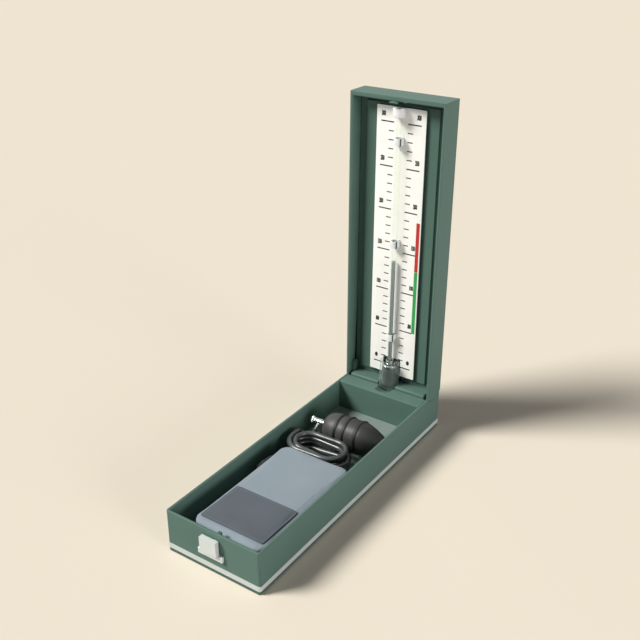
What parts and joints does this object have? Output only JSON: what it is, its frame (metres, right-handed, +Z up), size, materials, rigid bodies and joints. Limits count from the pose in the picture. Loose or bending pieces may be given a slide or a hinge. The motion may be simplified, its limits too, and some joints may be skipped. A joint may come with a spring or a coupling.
{
  "type": "mercury sphygmomanometer",
  "caption": "Desk mercury blood pressure meter in a hinged green case, open, with tube and scale in the lid and the cuff, bulb and hose packed in the base.",
  "frame": {"origin": "middle of the underside of the bottom board", "axes": "+Z up, +Y from the latch at the front to the hinge at the back, +X to the right seen from the front"},
  "size_m": [0.1148, 0.3584, 0.3945],
  "materials": {
    "green_shell": "satin",
    "dark_green_board": "matte",
    "silver_trim": "brushed",
    "steel": "satin",
    "green_catch": "satin",
    "chrome": "polished",
    "latch_chrome": "satin",
    "liner": "felt",
    "scale_white": "white enamel",
    "clear_glass": "clear",
    "mercury": "liquid metal",
    "nylon": "satin",
    "filter_felt": "felt",
    "black_rubber": "semi gloss",
    "bladder_rubber": "matte",
    "cuff_cloth": "woven",
    "hook_tape": "hook tape"
  },
  "bodies": {
    "base": {"base_case": "green_shell", "bottom_board": "dark_green_board", "trim_band": "silver_trim", "board_screw_1": "steel", "board_screw_2": "steel", "board_screw_3": "steel", "board_screw_4": "steel", "floor_liner": "liner", "shelf_block": "green_shell", "hinge_ear_left": "green_shell", "hinge_ear_right": "green_shell", "hinge_pin_left": "green_shell", "hinge_pin_right": "green_shell", "ear_screw_left_1": "steel", "ear_screw_left_2": "steel", "ear_screw_right_1": "steel", "ear_screw_right_2": "steel", "latch_rail": "chrome", "latch_rivet_left": "steel", "latch_rivet_right": "steel", "cuff": "cuff_cloth", "cuff_bladder": "bladder_rubber", "cuff_hook_patch": "hook_tape", "cuff_elbow": "black_rubber", "hose_coil": "black_rubber", "hose_to_cuff": "black_rubber", "hose_to_valve": "black_rubber", "squeeze_bulb": "black_rubber", "release_valve": "chrome", "inlet_valve": "chrome"},
    "lid": {"lid_case": "green_shell", "lid_back_board": "green_shell", "back_board_screw_1": "steel", "back_board_screw_2": "steel", "back_board_screw_3": "steel", "back_board_screw_4": "steel", "scale_plate": "scale_white", "plate_spacer_1": "nylon", "plate_spacer_2": "nylon", "glass_tube": "clear_glass", "mercury_column": "mercury", "tube_clip_1": "nylon", "tube_clip_2": "nylon", "tube_clip_3": "nylon", "tube_top_cap": "nylon", "air_filter": "filter_felt", "mercury_pot": "clear_glass", "mercury_pool": "mercury", "pot_plug": "chrome", "sealing_washer": "black_rubber", "tube_collar": "chrome", "pot_saddle": "nylon", "lid_catch": "green_catch", "catch_screw_left": "steel", "catch_screw_right": "steel"},
    "latch": {"latch_slider": "latch_chrome", "latch_leaf_spring": "steel"},
    "valve_screw": {"valve_thumb_screw": "chrome"}
  },
  "joints": [
    {"name": "lid_hinge", "type": "hinge", "parent": "base", "child": "lid", "pos_m": [0, 0.158, 0.0605], "axis": [1, 0, 0], "range_deg": [0, 90]},
    {"name": "latch_slide", "type": "slide", "parent": "base", "child": "latch", "axis": [-1, 0, 0], "range_m": [0, 0.004]},
    {"name": "valve_screw_turn", "type": "hinge", "parent": "base", "child": "valve_screw", "pos_m": [-0.045, 0.0583, 0.0321], "axis": [-1, 0, 0], "range_deg": [0, 360]}
  ]
}
